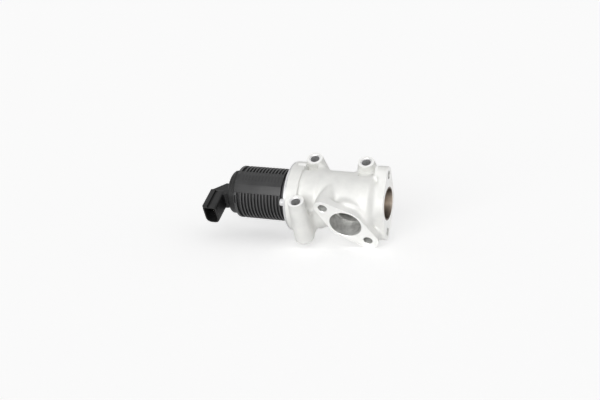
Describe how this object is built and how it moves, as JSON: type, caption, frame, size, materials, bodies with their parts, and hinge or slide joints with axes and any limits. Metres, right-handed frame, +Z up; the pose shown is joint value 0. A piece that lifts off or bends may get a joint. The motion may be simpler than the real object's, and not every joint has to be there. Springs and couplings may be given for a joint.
{
  "type": "egr valve",
  "caption": "Electric exhaust gas recirculation valve: cast body with flanged gas inlet and outlet, bolt columns and a finned solenoid with connector that lifts a sprung poppet off its seat.",
  "frame": {"origin": "centre of the round gas outlet, on the face of its two-bolt flange", "axes": "+X along the valve axis and out of the gas outlet, +Z up as the valve lies on a bench, so the inlet port faces forwards (-Y) and 32.3 degrees down"},
  "size_m": [0.172, 0.0892, 0.0824],
  "materials": {
    "cast_alloy": "pale shot-blasted casting with milled flange faces",
    "heat_stained_steel": "turned stainless steel, brown from exhaust heat",
    "zinc_steel": "bright zinc plate",
    "spring_steel": "drawn wire",
    "magnet_iron": "turned soft iron",
    "bush_bronze": "plain bearing bronze",
    "copper_wire": "enamelled copper winding",
    "bobbin_plastic": "natural glass-filled nylon",
    "black_moulding": "satin black glass-filled nylon",
    "seal_rubber": "black sealing rubber",
    "tinned_pins": "tin-plated contact blades",
    "track_board": "printed resistor track on a board"
  },
  "bodies": {
    "valve_housing": {"valve_body": "cast_alloy", "seat_sleeve": "heat_stained_steel", "column_bushes": "zinc_steel", "stem_bush": "bush_bronze", "deflector_cup": "heat_stained_steel", "return_spring": "spring_steel", "base_plate": "zinc_steel", "base_seal": "seal_rubber", "base_screws": "zinc_steel", "front_pole": "magnet_iron", "yoke_tube": "magnet_iron", "rear_washer": "magnet_iron", "guide_sleeve": "bush_bronze", "coil_bobbin": "bobbin_plastic", "coil_winding": "copper_wire", "coil_housing": "black_moulding", "connector_cover": "black_moulding", "connector_pins": "tinned_pins", "cover_seal": "seal_rubber", "sensor_track": "track_board"},
    "valve_train": {"armature": "magnet_iron", "valve_stem": "heat_stained_steel", "poppet": "heat_stained_steel", "spring_keeper": "zinc_steel", "sensor_plunger": "zinc_steel", "sensor_carrier": "bobbin_plastic", "sensor_wiper": "bush_bronze"}
  },
  "joints": [
    {"name": "valve_lift", "type": "slide", "parent": "valve_housing", "child": "valve_train", "axis": [1, 0, 0], "range_m": [0, 0.0055], "stiffness_N_per_m": 1200, "springref_m": -0.008, "deforming": ["return_spring"]}
  ]
}
